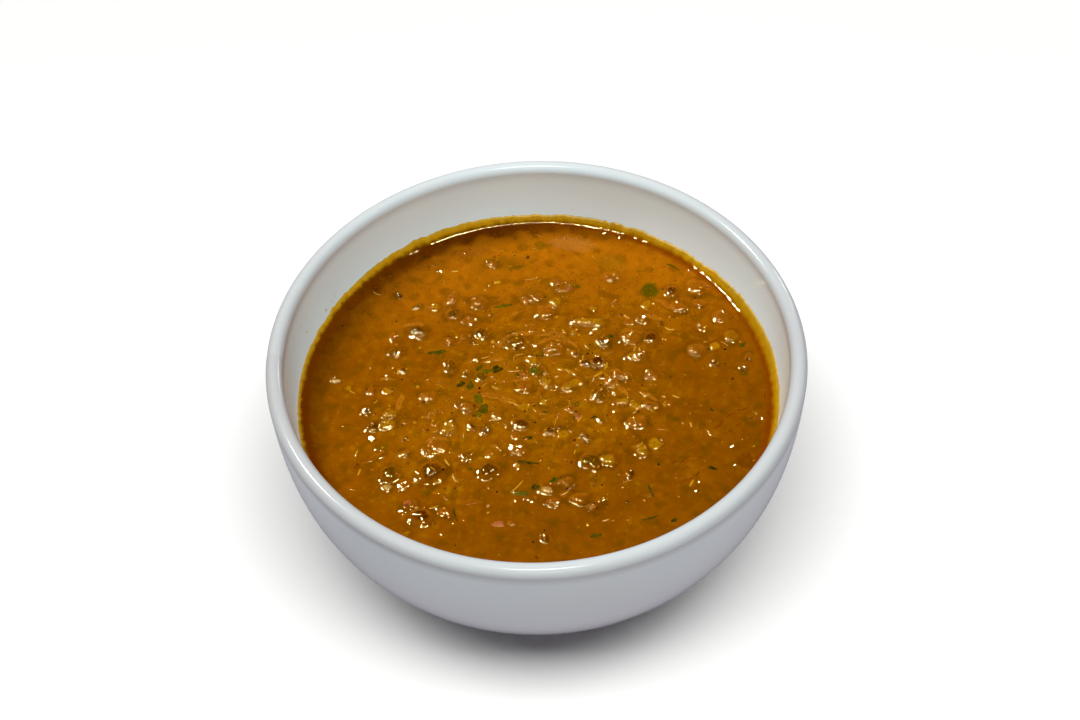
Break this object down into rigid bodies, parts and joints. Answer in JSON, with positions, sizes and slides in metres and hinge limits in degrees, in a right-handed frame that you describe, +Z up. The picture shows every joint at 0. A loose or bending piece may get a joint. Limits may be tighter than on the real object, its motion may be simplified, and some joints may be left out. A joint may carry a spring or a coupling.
{
  "type": "bowl of lentil dal",
  "caption": "Deep round china bowl with a low foot ring, filled to below its rim with thick lentil dal.",
  "frame": {"origin": "centre of the circle that the foot ring stands on", "axes": "+Z up along the bowl's axis; the bowl is round, so +X and +Y are free: +Y points away from the side it is usually seen from"},
  "size_m": [0.16, 0.16, 0.076],
  "materials": {
    "white_glaze": "gloss",
    "dal_stew": "gloss"
  },
  "bodies": {
    "root": {"bowl": "white_glaze", "dal": "dal_stew"}
  },
  "joints": []
}
